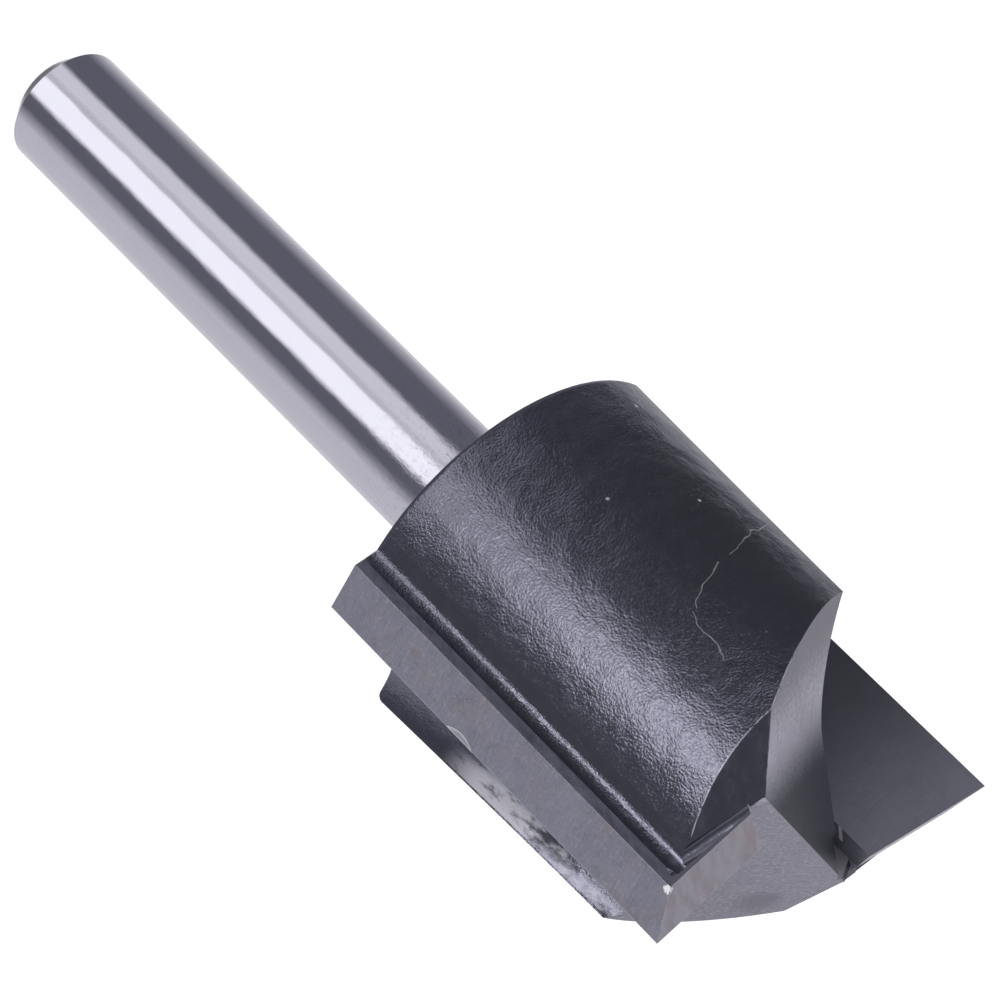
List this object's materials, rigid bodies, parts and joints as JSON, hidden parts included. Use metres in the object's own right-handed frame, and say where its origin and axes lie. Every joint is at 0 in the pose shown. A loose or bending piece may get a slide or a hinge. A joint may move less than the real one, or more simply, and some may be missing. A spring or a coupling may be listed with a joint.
{
  "type": "router bit",
  "caption": "Straight router bit with a round shank, a thicker two-flute head with ground end slopes, and brazed carbide cutting tips.",
  "frame": {"origin": "middle of the shank's end face", "axes": "+Z along the axis from the shank to the cutting end; +Y is the normal of wing 1's rake face"},
  "size_m": [0.0184, 0.018, 0.054],
  "materials": {
    "painted_steel": "satin black paint on the head, bright turned steel on the shank",
    "carbide": "ground carbide"
  },
  "bodies": {
    "root": {"steel_body": "painted_steel", "carbide_tip_1": "carbide", "carbide_tip_2": "carbide"}
  },
  "joints": []
}
